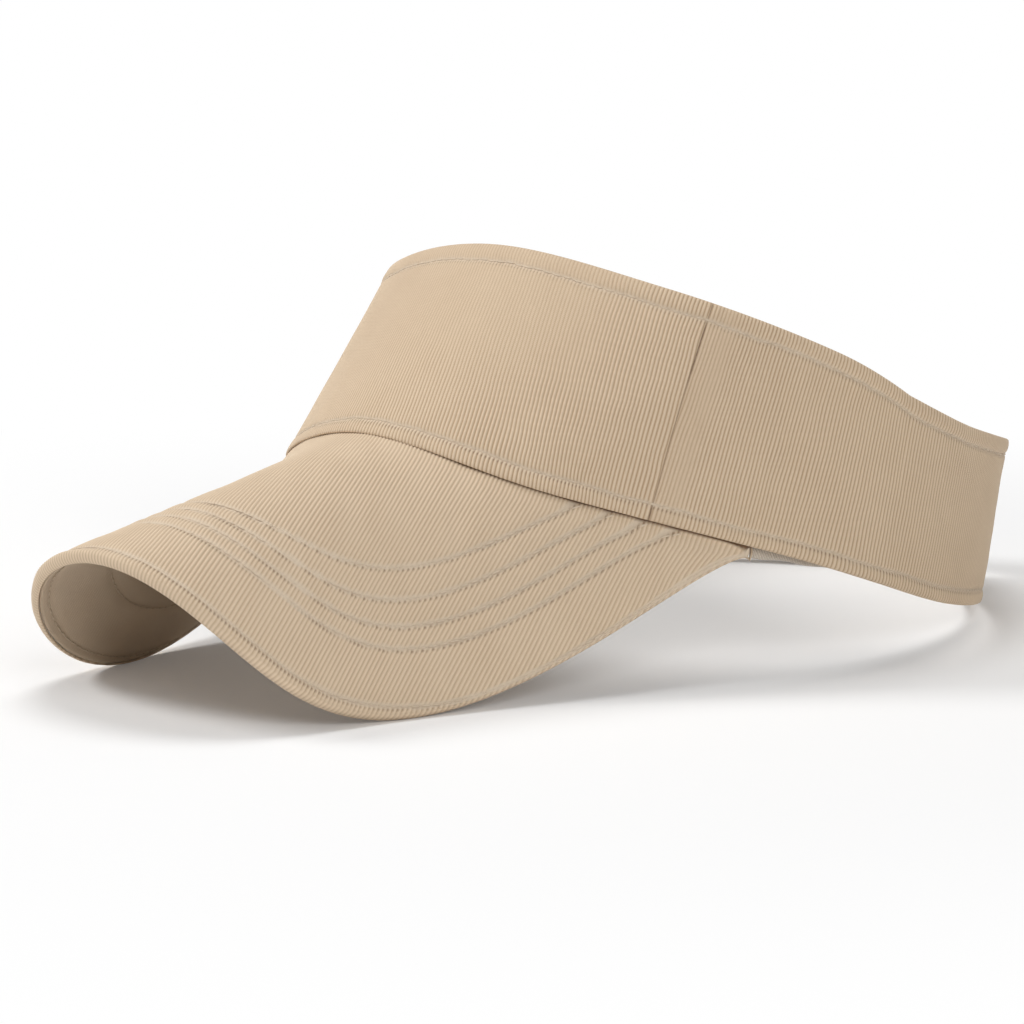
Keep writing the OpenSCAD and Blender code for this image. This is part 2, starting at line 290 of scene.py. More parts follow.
def laid_slopes(u, q):
    """A point laid out flat, how it moves with u and with q, and the area those two moves span."""
    here = flat(u, q)
    by_u = (flat(u + NUDGE, q) - here) / NUDGE
    by_q = (flat(u, q + NUDGE) - here) / NUDGE
    return here, by_u, by_q, by_u[..., 0] * by_q[..., 1] - by_u[..., 1] * by_q[..., 0]


def reach(u):
    """Distance from the seam to the brim's edge."""
    return np.linalg.norm(edge_point(u) - seam_point(u), axis=-1)


def brim_up(u, q):
    return unit(np.cross(brim_mid(u, q + 0.02) - brim_mid(u, q - 0.02),
                         brim_mid(u + 0.01, q) - brim_mid(u - 0.01, q)))


def brim(u, q, h, e=0):
    """Point at height h above the brim's middle surface, and e beyond its edge line."""
    u, q = np.broadcast_arrays(np.asarray(u, float), np.asarray(q, float))
    out = unit(edge_point(u) - seam_point(u))
    return brim_mid(u, q) + brim_up(u, q) * np.asarray(h)[..., None] + out * np.asarray(e)[..., None]


STITCH_ROWS = 4


def row_end(k):
    return 0.575 + 0.076 * k


def row_q(k, u):
    return (0.59 + 0.0585 * k) * (1 - (np.abs(u) / row_end(k)) ** (1.8 + 0.6 * k))


def edge_inset(u):
    """How far in the outermost stitches run: they come out towards the lip at the brim's sides."""
    return EDGE_INSET - (EDGE_INSET - LIP_INSET) * smooth(0.3, 0.5, np.abs(u))


# ---- Meshes from grids of points ----

def closed_grid(rows, columns):
    """Faces of a grid whose rows close into a loop, with a cap at its first and last column."""
    at = np.arange(rows * columns).reshape(rows, columns)
    a, b = at[:, :-1], at[:, 1:]
    sides = np.stack([a, b, np.roll(b, -1, 0), np.roll(a, -1, 0)], -1).reshape(-1, 4)
    return sides.tolist() + [at[:, 0].tolist(), at[::-1, -1].tolist()]


def welded(points, faces):
    """Merges points that fall together, and drops the faces that this closes up. Gives the index of
    each point kept, sorted by place and not by grid row, and the faces between them."""
    key = np.round(points / (0.0005 * MM)).astype(np.int64)
    _, first, inverse = np.unique(key, axis=0, return_index=True, return_inverse=True)
    inverse = inverse.reshape(-1)
    kept = []
    for face in faces:
        ring = [inverse[i] for i in face]
        ring = [p for n, p in enumerate(ring) if p != ring[n - 1]]
        if len(set(ring)) == len(ring) > 2:
            kept.append([int(p) for p in ring])
    return first, kept


def face_outward(mesh):
    shape = bmesh.new()
    shape.from_mesh(mesh)
    if shape.calc_volume(signed=True) < 0:
        bmesh.ops.reverse_faces(shape, faces=shape.faces)
        shape.to_mesh(mesh)
    shape.free()


def placed(name, data):
    """An object for that data, linked to the scene."""
    made = bpy.data.objects.new(name, data)
    bpy.context.scene.collection.objects.link(made)
    return made


def aimed(item, place, direction):
    item.location = place
    item.rotation_mode = "QUATERNION"
    item.rotation_quaternion = Vector(direction).to_track_quat("-Z", "Y")


def shaded_smooth(mesh):
    mesh.polygons.foreach_set("use_smooth", np.ones(len(mesh.polygons), bool))


def mesh_piece(name, points, faces, material, uv, **attributes):
    first, faces = welded(points, faces)
    mesh = bpy.data.meshes.new(name)
    mesh.from_pydata(points[first].tolist(), [], faces)
    shaded_smooth(mesh)
    for key, values in attributes.items():
        layer = mesh.attributes.new(key, "FLOAT", "POINT")
        layer.data.foreach_set("value", np.asarray(values, np.float32)[first])
    corner = np.empty(len(mesh.loops), np.int32)
    mesh.loops.foreach_get("vertex_index", corner)
    layer = mesh.uv_layers.new(name="cloth")
    layer.data.foreach_set("uv", uv[first][corner].astype(np.float32).ravel())
    mesh.materials.append(material)
    mesh.update()
    face_outward(mesh)
    return placed(name, mesh)


def loop_piece(name, grid, material, uv, **attributes):
    """A closed piece from a grid of head-frame points whose rows go round its section."""
    rows, columns = grid.shape[:2]
    flat_values = {k: np.broadcast_to(v, (rows, columns)).reshape(-1) for k, v in attributes.items()}
    return mesh_piece(name, stand(grid).reshape(-1, 3), closed_grid(rows, columns), material,
                      uv.reshape(-1, 2), **flat_values)


# ---- What each piece moves with and stands for ----

SIDES = (("left", 1), ("right", -1))


def fitted(piece, body, slot, *nodes):
    """The piece rides on one body, and stands for those CAD nodes."""
    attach(piece, body)
    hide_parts(*nodes)


def fitted_along(piece, half, slot, *nodes):
    """Bakes the piece's placement into its points, and stands for those CAD nodes. half is not used."""
    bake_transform(piece)
    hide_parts(*nodes)


# ---- Node trees ----

class Value:
    """A socket of a node tree, for arithmetic."""

    def __init__(self, tree, socket):
        self.tree, self.socket = tree, socket

    def math(self, operation, *others):
        return self.tree.node("ShaderNodeMath", {"operation": operation}, self, *others)

    def __add__(self, other):
        return self.math("ADD", other)

    def __mul__(self, other):
        return self.math("MULTIPLY", other)

    def __pow__(self, other):
        return self.math("POWER", other)

    __radd__ = __add__


class Tree:
    """A node tree whose nodes are added with their settings and inputs."""

    def __init__(self, tree):
        self.nodes, self.links = tree.nodes, tree.links

    def set(self, socket, value):
        if isinstance(value, Value):
            self.links.new(value.socket, socket)
        else:
            socket.default_value = value

    def node(self, kind, settings=None, *inputs, out=0, **named):
        """Inputs go to the enabled sockets, in order or by name. out is an output's name or number."""
        node = self.nodes.new(kind)
        for key, value in (settings or {}).items():
            setattr(node, key, value)
        enabled = [socket for socket in node.inputs if socket.enabled]
        for socket, value in zip(enabled, inputs):
            self.set(socket, value)
        for key, value in named.items():
            self.set(next(s for s in enabled if s.name == key.replace("_", " ")), value)
        live = [socket for socket in node.outputs if socket.enabled]
        return Value(self, node.outputs[out] if isinstance(out, str) else live[out])

    def ray(self, kind):
        """1 for a ray of that kind, and 0 for any other."""
        return self.node("ShaderNodeLightPath", out=f"Is {kind} Ray")


class Finish(Tree):
    """A material built round one Principled shader."""

    def __init__(self, name):
        self.material = bpy.data.materials.new(name)
        self.material.use_nodes = True
        super().__init__(self.material.node_tree)
        self.shader = self.nodes["Principled BSDF"]

    def attribute(self, name):
        return self.node("ShaderNodeAttribute", {"attribute_name": name}, out="Fac")

    def uv(self):
        both = self.node("ShaderNodeUVMap", {"uv_map": "cloth"})
        return (self.node("ShaderNodeSeparateXYZ", None, both, out="X"),
                self.node("ShaderNodeSeparateXYZ", None, both, out="Y"))

    def place(self):
        return self.node("ShaderNodeTexCoord", out="Object")

    def noise(self, size_mm, detail=2):
        return self.node("ShaderNodeTexNoise", None, Vector=self.place(), Scale=1 / (size_mm * MM),
                         Detail=detail)

    def mix(self, factor, one, other):
        return self.node("ShaderNodeMix", {"data_type": "RGBA"}, factor, one, other)

    def surface(self, colour, roughness, height=None, depth_mm=0.05, **constants):
        self.set(self.shader.inputs["Base Color"], colour)
        self.set(self.shader.inputs["Roughness"], roughness)
        if height is not None:
            bump = self.node("ShaderNodeBump", Height=height, Distance=depth_mm * MM, Strength=1.0)
            self.set(self.shader.inputs["Normal"], bump)
        for key, value in constants.items():
            self.shader.inputs[key.replace("_", " ")].default_value = value
        return self.material


def tone(red, green, blue):
    """A colour written in 0 to 255, as a shader takes it."""
    def linear(c):
        return c / 255 / 12.92 if c <= 10 else ((c / 255 + 0.055) / 1.055) ** 2.4
    return (linear(red), linear(green), linear(blue), 1)


# ---- Materials ----

# Crest and groove colours: the groove's darker colour is painted shade between the ribs.
CREST = tone(224, 203, 176)
GROOVE_SHADE = tone(163, 132, 99)
# Dark brown painted shade, for the seam's crease, groove ends and the brim's seam line.
PAINTED_SHADE = tone(96, 68, 44)
PRESSED = tone(214, 197, 175)
FIBRE = tone(190, 166, 136)
THREAD_FIBRE = tone(204, 187, 164)
CROSS_YARN_MM = 0.42


def ribbed_cloth():
    f = Finish("ribbed_cloth")
    across, along = f.uv()
    fibre = f.noise(0.35, 3)
    mottle = f.noise(14)
    rib = f.attribute("rib")
    # Grooves take a darker colour than crests: painted shade in the grooves, on top of the shading from
    # the ribs' relief.
    shade = f.mix(rib * 0.86 + mottle * 0.14, GROOVE_SHADE, CREST)
    shade = f.mix(fibre * 0.2, shade, FIBRE)
    shade = f.mix(f.attribute("sewn") * 0.85, shade, PRESSED)
    # The ditch attribute paints dark brown shade: in the side seam's crease, at groove ends beside the
    # stitches and along the brim's seam.
    shade = f.mix(f.attribute("ditch"), shade, PAINTED_SHADE)
    cross_yarn = (along * (2 * math.pi / CROSS_YARN_MM) + across * math.pi).math("SINE")
    return f.surface(shade, 0.86 + fibre * 0.1, cross_yarn * 0.35 + fibre * 0.9, 0.05, Sheen_Weight=0.04)


def plain_weave(name, light, dark, yarn_mm, depth_mm=0.05):
    f = Finish(name)
    across, along = f.uv()
    turn = 2 * math.pi / yarn_mm
    weave = (across * turn).math("SINE") * (along * turn).math("SINE")
    fibre = f.noise(0.5, 3)
    shade = f.mix(weave * 0.25 + f.noise(11) * 0.6 + fibre * 0.15, dark, light)
    return f.surface(shade, 0.84 + fibre * 0.12, weave + fibre * 0.8, depth_mm, Sheen_Weight=0.1)


def twill(name, light, dark, yarn_mm):
    f = Finish(name)
    across, along = f.uv()
    rib = ((across + along * 0.8) * (2 * math.pi / yarn_mm)).math("SINE")
    fibre = f.noise(0.6, 3)
    shade = f.mix(rib * 0.3 + f.noise(9) * 0.5 + fibre * 0.2, dark, light)
    return f.surface(shade, 0.85 + fibre * 0.1, rib + fibre * 0.7, 0.07, Sheen_Weight=0.1)


def pile(name, light, dark, size_mm, depth_mm, roughness):
    f = Finish(name)
    tuft = f.noise(size_mm, 4)
    shade = f.mix(tuft * 0.7 + f.noise(6) * 0.3, dark, light)
    return f.surface(shade, roughness + tuft * 0.1, tuft, depth_mm)


def sewing_thread(name, light, dark):
    f = Finish(name)
    fibre = f.noise(0.25, 2)
    # Each stitch is painted darker towards its two tips: painted shade where the thread sinks into the
    # cloth.
    shade = f.mix(f.attribute("tip") ** 3, f.mix(fibre, light, THREAD_FIBRE), dark)
    return f.surface(shade, 0.6 + fibre * 0.2, fibre, 0.03)


def board_plastic():
    f = Finish("brim_board_plastic")
    grain = f.noise(1.2, 3)
    shade = f.mix(grain, tone(232, 231, 226), tone(243, 243, 240))
    return f.surface(shade, 0.4 + grain * 0.15, grain, 0.03)


RIBBED = ribbed_cloth()
UNDER_CLOTH = plain_weave("under_cotton", tone(205, 184, 158), tone(188, 165, 138), 0.45)
LINING = plain_weave("lining_cotton", tone(214, 194, 168), tone(197, 175, 148), 0.5)
INTERLINING = plain_weave("stiff_interlining", tone(238, 236, 230), tone(220, 217, 208), 0.8, 0.1)
TERRY = twill("sweatband_twill", tone(208, 198, 184), tone(186, 172, 156), 0.7)
TAPE = twill("seam_tape_twill", tone(206, 184, 156), tone(180, 157, 128), 0.9)
WEBBING = plain_weave("strap_webbing", tone(208, 184, 154), tone(176, 150, 120), 0.9, 0.12)
LABEL = plain_weave("label_satin", tone(240, 238, 232), tone(226, 223, 215), 0.35, 0.02)
LOOPS = pile("loop_pile", tone(205, 183, 154), tone(168, 144, 115), 0.5, 0.35, 0.85)
HOOKS = pile("moulded_hooks", tone(196, 174, 146), tone(160, 136, 108), 0.6, 0.3, 0.45)
THREAD = sewing_thread("sewing_thread", tone(216, 197, 174), tone(190, 167, 140))
UNDER_THREAD = sewing_thread("under_thread", tone(168, 143, 114), tone(132, 108, 82))
SEAM_THREAD = sewing_thread("seam_thread", tone(128, 98, 70), tone(96, 70, 48))


# ---- Strips that follow the band ----

# Rows of a hemmed cloth in mm from its edges, closer together at the hem's stitches
BOTTOM_ROWS = (0.3, 1.0, 1.8, 2.5, 3.0, 3.4, 3.8, 4.2, 4.7, 5.4, 6.4)
TOP_ROWS = (6.8, 5.9, 5.2, 4.7, 4.3, 3.9, 3.4, 2.7, 1.8, 1.0, 0.3)
MIDDLE_ROWS = 16
FOLD_TURNS = np.radians([30, 60, 90, 120, 150])


def section(low, high, depth, thick, rows, hemmed=False):
    """Height, depth and share of the outer face at each row round a strip's section."""
    r = thick / 2
    bottom, top = low + r, high - r
    if hemmed:
        first, last = bottom + BOTTOM_ROWS[-1], top - TOP_ROWS[0]
        fractions = np.linspace(0, 1, MIDDLE_ROWS + 2)[1:-1]
        outer = ([bottom + x for x in BOTTOM_ROWS] + [first + (last - first) * f for f in fractions]
                 + [top - x for x in TOP_ROWS])
    else:
        outer = [bottom + (top - bottom) * f for f in np.linspace(0, 1, rows)]
    inner = [top + (bottom - top) * f for f in np.linspace(0, 1, rows)]
    rings = [(h, depth, 1.0) for h in outer]
    rings += [(top + r * math.sin(t), depth + r - r * math.cos(t), 0.5 + 0.5 * math.cos(t))
              for t in FOLD_TURNS]
    rings += [(h, depth + thick, 0.0) for h in inner]
    rings += [(bottom - r * math.sin(t), depth + r + r * math.cos(t), 0.5 - 0.5 * math.cos(t))
              for t in FOLD_TURNS]
    heights, depths, shares = zip(*rings)
    return (np.stack([np.broadcast_to(h, np.shape(high)) for h in heights]),
            np.array(depths)[:, None], np.array(shares)[:, None])


def mirrored(grid, side):
    return grid * np.array([side, 1, 1])


def strip(name, side, start, end, low, high, depth, thick, material, rows=8, spacing=2.5, relief=None,
          off=None):
    """A plain strip between two angles. low and high are heights above the bottom edge, and start,
    end, low and high may each be a function: of the share of the height, or of the angle."""
    start_at = start if callable(start) else lambda v: start
    end_at = end if callable(end) else lambda v: end
    count = int(abs(end_at(0.5) - start_at(0.5)) * MM_PER_DEGREE / spacing) + 2
    share = np.linspace(0, 1, count)
    middle = start_at(0.5) + (end_at(0.5) - start_at(0.5)) * share
    tall = height_at(middle)
    lows = low(middle) if callable(low) else np.full(count, float(low))
    highs = high(middle) if callable(high) else np.full(count, float(high))
    heights, depths, weights = section(lows, highs, depth, thick, rows)
    v = heights / tall
    angles = start_at(v) + (end_at(v) - start_at(v)) * share
    arc = middle * math.radians(BAND_W / 2) + 0 * heights
    lifted = 0 if relief is None else relief(arc, heights, heights - lows, highs - heights) * weights
    away = 0 if off is None else off(angles)
    grid = band_at(angles, heights, depths - lifted + away)
    return loop_piece(name, mirrored(grid, side), material, np.stack([arc, heights], -1))


# ---- Ribbed cloth of the band ----

FRONT_CLOTH_T, SIDE_CLOTH_T = 0.95, 1.5
HEM_PUFF, HEM_DIP = 0.26, 0.28
DITCH_DEPTH = 0.16
EDGE_EASE = (0.02, 0.45)  # mm from a cut edge over which the ribs come up


def rib_columns(first, last, pitch):
    """Angles at the middle of the height where the columns of ribs lie, and each one's rib number."""
    a = np.linspace(first, last, 2000)
    ribs = np.concatenate([[0], np.cumsum(arc_per_degree(a[1:]) / pitch(a[1:]) * np.diff(a))])
    number = np.arange(0, int(ribs[-1] * STEPS_PER_RIB)) / STEPS_PER_RIB
    return np.interp(number, ribs, a), number


def hem_wave(a):
    """How far the hem's stitches stray from a straight line."""
    along = a * MM_PER_DEGREE
    return 0.22 * ripple(along, 0 * a, 17, 78) + 0.08 * ripple(along, 0 * a, 6, 79)


def rib_shape(number):
    """0 in the groove between two ribs and 1 along a rib's crest."""
    return 1 - np.abs(2 * (number % 1) - 1) ** 2.2


def squeezed(a, first, last, width=0.25):
    """Angles kept between two edges, crowded together over the last bit before each one."""
    after = np.exp(-(np.maximum(a - last, -width) + width) / width)
    a = np.where(a > last - width, last - width * after, a)
    before = np.exp((np.minimum(a - first, width) - width) / width)
    return np.where(a < first + width, first + width * before, a)


def band_cloth(name, side, start, end, slant, pitch, margin, strip_behind_seam, seed):
    """A panel of ribbed cloth between two edges, each an angle for each share of the height.
    slant is how far a rib leans over the whole height, in degrees, and pitch is in mm. Ribs start
    and end up to margin degrees past the edges, as they lean across them."""
    middle, number = rib_columns(start(0.5) - margin, end(0.5) + margin, pitch)
    thick = SIDE_CLOTH_T if strip_behind_seam else FRONT_CLOTH_T
    tall = middle_tall = height_at(middle)
    laid, depths, weights = section(0 * tall, tall, 0.0, thick, 5, hemmed=True)
    heights = laid
    for _ in range(2):
        v = heights / tall
        arc = middle * math.radians(BAND_W / 2) + 0 * v
        wander = 0.2 * ripple(arc, heights, 26, seed) + 0.09 * ripple(arc, heights, 9, seed + 1)
        angles = middle + slant(middle) * (v - 0.5) + wander / MM_PER_DEGREE
        angles = squeezed(angles, start(v), end(v))
        tall = height_at(angles)
        heights = laid + (tall - middle_tall) * smooth(0.2, 0.8, laid / middle_tall)
    v = heights / tall
    scale = arc_per_degree(angles, v)
    arc = angles * scale
    from_start, from_end = (angles - start(v)) * scale, (end(v) - angles) * scale
    from_seam = from_start if strip_behind_seam else np.minimum(from_start, from_end)
    below = heights - BOTTOM_HEM - hem_wave(angles)
    above = tall - TOP_HEM - heights - hem_wave(angles)
    sewn = np.maximum(hump(below, 0.5), hump(above, 0.5))
    worn = 0.55 * (1 - smooth(4, 11, from_seam)) + 0.4 * hump(from_seam - 6, 1.7)
    rubbed = strip_behind_seam * worn
    ease = smooth(*EDGE_EASE, from_start) * smooth(*EDGE_EASE, from_end)
    smoothed = 0
    if not strip_behind_seam:
        smoothed = 0.55 * (1 - smooth(18, 46, np.abs(angles))) * smooth(0.1, 0.75, v)
    ribs = rib_shape(number) * RIB_RELIEF * ease * (1 - 0.9 * sewn) * (1 - smoothed) * (
        0.9 + 0.2 * ripple(arc, heights, 11, seed + 2)) * (1 - 0.6 * rubbed)
    body = (0.2 * ripple(arc, heights, 42, seed + 3) * smooth(-4, 8, np.minimum(below, above))
            + rubbed * (0.1 + 0.1 * ripple(arc * 2, heights, 5, seed + 4)))
    puff = HEM_PUFF * hump(below + 2.1, 1.4) + HEM_PUFF * hump(above + 2.3, 1.5) - HEM_DIP * sewn
    pucker = 0.05 * ripple(arc, heights, 4.5, seed + 5) * np.maximum(hump(below, 2.5), hump(above, 2.5))
    ditch = hump(from_seam, 0.2) * (0.5 + 0.5 * smooth(-0.3, 0.5, ripple(heights, 0 * heights, 14, 21)))
    lifted = (ribs + body + puff + pucker) * ease - DITCH_DEPTH * ditch
    grid = band_at(angles, heights, depths - lifted * weights)
    groove = 1 - rib_shape(number)
    # Colour from crest to groove: painted shade in the grooves, weaker where the ribs are rubbed flat
    # behind the seam and smoothed at the front's top.
    colour = 0.62 + (rib_shape(number) - 0.62) * (1 - 0.6 * rubbed) * (1 - smoothed)
    # Painted shade: dark dots in the grooves just below each hem's stitches, and a dark line along the
    # seam's crease.
    painted_shade_marks = np.maximum(hump(below + 0.75, 0.3), 0.6 * hump(above - 0.75, 0.3)) * groove * 0.75
    painted_shade_marks = np.maximum(painted_shade_marks, 0.75 * ditch) * weights
    uv = np.stack([number + 0 * heights, heights], -1)
    return loop_piece(name, mirrored(grid, side), RIBBED, uv, sewn=sewn * weights,
                      rib=colour * weights + 0.6 * (1 - weights), ditch=np.clip(painted_shade_marks, 0, 1))


SEAM_GAP = 0.004  # degrees


def side_slant(a):
    """Ribs lean back beside the seam, stand up along the side and lean forward where it turns."""
    return -4.5 + 4.5 * smooth(48, 80, a) + 2.5 * smooth(80, 96, a) - 2.5 * smooth(96, 130, a)


def front_panel():
    piece = band_cloth(
        "front_panel_cloth", 1, lambda v: -seam_at(v) + SEAM_GAP, lambda v: seam_at(v) - SEAM_GAP,
        slant=lambda a: -12.5 + 5.5 * smooth(20, 46, a), pitch=lambda a: 1.05 + 0 * a, margin=12,
        strip_behind_seam=0, seed=11)
    fitted(piece, "root", "outer_cloth", "front_panel")


def side_panels():
    for name, side in SIDES:
        piece = band_cloth(
            f"{name}_side_cloth", side, lambda v: seam_at(v) + SEAM_GAP, lambda v: END_ANGLE + 0 * v,
            slant=side_slant, pitch=lambda a: 1.02 + 0.33 * smooth(50, 105, a), margin=3,
            strip_behind_seam=1, seed=30 + side)
        fitted_along(piece, name, "outer_cloth", f"{name}_side_panel", f"{name}_rear_panel")


# ---- Layers behind the cloth ----

def gentle(seed, size, length):
    return lambda arc, heights, from_low, from_high: size * ripple(arc, heights, length, seed)


INTERLINING_INSET, LINING_INSET, TAPE_INSET = 1.6, 0.6, 1
LAYER_EASE = 0.25  # degrees between a layer's end and the side seam
TAPE_HALF = 4


def layer(name, side, start, end, inset, depth, thick, material, rows):
    """A strip behind the cloth that stops short of the band's edges by inset."""
    return strip(name, side, start, end, inset, lambda a: height_at(a) - inset, depth, thick, material,
                 rows=rows)


def lining(name, side, start, end):
    return layer(name, side, start, end, LINING_INSET, BRIM_D + 0.05, FACING_T - 0.05, LINING, rows=12)


def front_layers():
    ends = (lambda v: -seam_at(v) + LAYER_EASE, lambda v: seam_at(v) - LAYER_EASE)
    piece = layer("front_interlining_sheet", 1, *ends, INTERLINING_INSET, CLOTH_T + 0.05,
                  INTERLINING_T - 0.1, INTERLINING, rows=8)
    fitted(piece, "root", "interlining", "front_interlining")
    piece = lining("front_lining", 1, *ends)
    fitted(piece, "root", "lining_cloth", "front_facing")


def side_layers():
    half = back_angle(TAPE_HALF)
    for name, side in SIDES:
        piece = lining(f"{name}_side_lining", side, lambda v: seam_at(v) + LAYER_EASE, END_ANGLE - 0.2)
        fitted_along(piece, name, "lining_cloth", f"{name}_side_facing", f"{name}_rear_facing")
        piece = strip(f"{name}_tape_strip", side, lambda v: seam_at(v) - half,
                      lambda v: seam_at(v) + half, SWEATBAND_TOP + 0.5,
                      lambda a: height_at(a) - TAPE_INSET, BRIM_D + FACING_T + 2 * LAYER_GAP, 0.4, TAPE,
                      rows=10, spacing=0.8,
                      relief=gentle(50 + side, 0.1, 7))
        fitted(piece, "root", "seam_tape", f"{name}_seam_tape")


SWEATBAND_D = BRIM_D + FACING_T + LAYER_GAP
SWEATBAND_ROWS = 18
PLUMP_FRAMES = 20
PLUMP_CAP = 1.0  # the most a point may move, in mm


def plump(piece, free):
    """Blows the pad up with inner pressure. Only the free points move, and by the cap at most."""
    held = piece.vertex_groups.new(name="sewn")
    held.add(np.flatnonzero(~free).tolist(), 1.0, "REPLACE")
    cloth = piece.modifiers.new("plump", "CLOTH")
    cloth.settings.vertex_group_mass = "sewn"
    cloth.settings.quality = 6
    cloth.settings.mass = 0.15
    cloth.settings.tension_stiffness = cloth.settings.compression_stiffness = 12
    cloth.settings.use_pressure = True
    cloth.settings.uniform_pressure_force = 4
    cloth.settings.effector_weights.gravity = 0
    cloth.collision_settings.use_collision = False
    cloth.point_cache.frame_start, cloth.point_cache.frame_end = 1, PLUMP_FRAMES
    scene = bpy.context.scene
    for step in range(1, PLUMP_FRAMES + 1):
        scene.frame_set(step)
    blown = piece.evaluated_get(bpy.context.evaluated_depsgraph_get()).data
    count = len(piece.data.vertices)
    before, after = np.empty(count * 3), np.empty(count * 3)
    piece.data.vertices.foreach_get("co", before)
    blown.vertices.foreach_get("co", after)
    moved = (after - before).reshape(-1, 3)
    far = np.linalg.norm(moved, axis=1, keepdims=True)
    moved *= np.minimum(1, PLUMP_CAP * MM / np.maximum(far, 1e-9)) * free[:, None]
    piece.modifiers.remove(cloth)
    piece.vertex_groups.remove(held)
    piece.data.vertices.foreach_set("co", before + moved.ravel())
    piece.data.update()
    scene.frame_set(1)


def sweatband():
    """Padded bands, thinner along their sewn edges. Just behind the brim they hang a little lower."""
    def low(a):
        hang = smooth(62, 65.5, a) * (1 - smooth(66, 85, a))
        return SWEATBAND_LOW - (3.7 + 0.7 * ripple(a * 1.5, 0 * a, 13, 71)) * hang

    def relief(arc, heights, from_low, from_high):
        return 0 * arc - 0.25 * smooth(3, 0, np.minimum(from_low, from_high))

    spans = [("front_sweatband_pad", 1, -SEAM_ANGLE + 4, SEAM_ANGLE - 4, None)]
    spans += [(f"{name}_sweatband_pad", side, SEAM_ANGLE - 3.6, END_ANGLE - 0.4, name)
              for name, side in SIDES]
    turns = len(FOLD_TURNS)
    row_count = 2 * SWEATBAND_ROWS + 2 * turns
    for name, side, start, end, half in spans:
        piece = strip(name, side, start, end, low if half else SWEATBAND_LOW, SWEATBAND_TOP,
                      SWEATBAND_D, SWEATBAND_T, TERRY, rows=SWEATBAND_ROWS, spacing=1.8, relief=relief)
        # Known fault: free is counted as if the points still came row by row, but welded() has
        # sorted them by place. So it frees one stretch of the pad, not the face towards the head.
        row = np.repeat(np.arange(row_count), len(piece.data.vertices) // row_count)
        free = (row >= SWEATBAND_ROWS + turns + 2) & (row < row_count - turns - 2)
        plump(piece, free)
        if half:
            fitted_along(piece, half, "sweatband_cloth", "front_sweatband", f"{half}_rear_sweatband")
        else:
            fitted(piece, "root", "sweatband_cloth", "front_sweatband")


# ---- Brim ----

RIBS_FORWARD = 0.4        # ribs crossed by each mm forward
RIBS_ACROSS = 0.908       # ribs crossed by each mm across, at the middle and to the right
RIBS_SPREAD = 0.00356     # by which the ribs open out with each mm to the left
BRIM_STEPS_PER_RIB = 4
BRIM_ROWS = 96
CLOSE_RIBS = 3            # ribs at the right edge whose columns lie closer together


def rib_number(s, t):
    across = RIBS_ACROSS * s - np.where(s > 0, RIBS_SPREAD * s ** 2 / 2, 0)
    return across - RIBS_FORWARD * t


def on_rib(number, t):
    """Distance across at which rib line number passes distance t forward."""
    x = number + RIBS_FORWARD * t
    root = np.sqrt(np.maximum(RIBS_ACROSS ** 2 - 2 * RIBS_SPREAD * x, 1e-6))
    return np.where(x > 0, (RIBS_ACROSS - root) / RIBS_SPREAD, x / RIBS_ACROSS)


def brim_columns():
    """For each rib line: its number, and where it starts and ends as u and q."""
    u = np.linspace(-BRIM_END, BRIM_END, 6001)
    ends = np.linspace(0, 1, 60)
    rim = rib_number(*laid_edge(u).T)
    turn = int(np.argmin(rim))
    back_u = np.concatenate([u[turn::-1], np.full(60, -BRIM_END), u, np.full(60, BRIM_END)])
    back_q = np.concatenate([np.ones(turn + 1), ends[::-1], 0 * u, ends])
    back = rib_number(*flat(back_u, back_q).T)
    back = np.minimum.accumulate(back[::-1])[::-1]
    front = np.maximum.accumulate(rim[turn:])
    first, last = rim[turn], min(front[-1], back[-1]) - 0.15
    close = first + CLOSE_RIBS * (np.arange(26) / 26) ** 2
    number = np.concatenate([close, np.arange(first + CLOSE_RIBS, last, 1 / BRIM_STEPS_PER_RIB)])
    place = np.interp(number, back, np.arange(len(back)))
    step = np.arange(len(back))
    return number, np.interp(place, step, back_u), np.interp(place, step, back_q), np.interp(
        number, front, u[turn:])


def solve(u, q, s, t):
    """Moves u and q until the brim's point there, laid out flat, is at s and t."""
    for _ in range(7):
        here, by_u, by_q, whole = laid_slopes(u, q)
        missing = np.stack([s, t], -1) - here
        whole = np.where(np.abs(whole) < 1e-6, 1e-6, whole)
        step_u = (missing[..., 0] * by_q[..., 1] - missing[..., 1] * by_q[..., 0]) / whole
        step_q = (by_u[..., 0] * missing[..., 1] - by_u[..., 1] * missing[..., 0]) / whole
        u = np.clip(u + np.clip(step_u, -0.1, 0.1), -BRIM_END, BRIM_END)
        q = np.clip(q + np.clip(step_q, -0.2, 0.2), 0, 1)
    return u, q


def from_stitches(u, q):
    """Distance on the flat brim to the nearest row of stitches, and 1 in front of it or -1 behind."""
    _, by_u, by_q, whole = laid_slopes(u, q)
    whole = np.where(np.abs(whole) < 1e-3, 1e-3, whole)
    nearest = edge_inset(u) - (1 - q) * reach(u)
    for k in range(STITCH_ROWS):
        f = q - row_q(k, u)
        f_u = (q - row_q(k, u + NUDGE) - f) / NUDGE
        f_q = (q + NUDGE - row_q(k, u) - f) / NUDGE
        g_s = (f_u * by_q[..., 1] - f_q * by_u[..., 1]) / whole
        g_t = (-f_u * by_q[..., 0] + f_q * by_u[..., 0]) / whole
        away = f / np.maximum(np.hypot(g_s, g_t), 1e-6)
        nearest = np.where(np.abs(away) < np.abs(nearest), away, nearest)
    return np.abs(nearest), np.sign(nearest)


FLANGE_T = 0.5
FLANGE_D = BRIM_D - FLANGE_T - 0.05  # how deep in the band's wall the cover is sewn
FLANGE_RISE = 1.1
SEAM_FOOT = -0.1  # height at which it meets the band's lower edge
WIDTH_PER_U = 120  # about how far the brim's surface goes across for each unit of u, in mm
AT_SEAM = 0.001


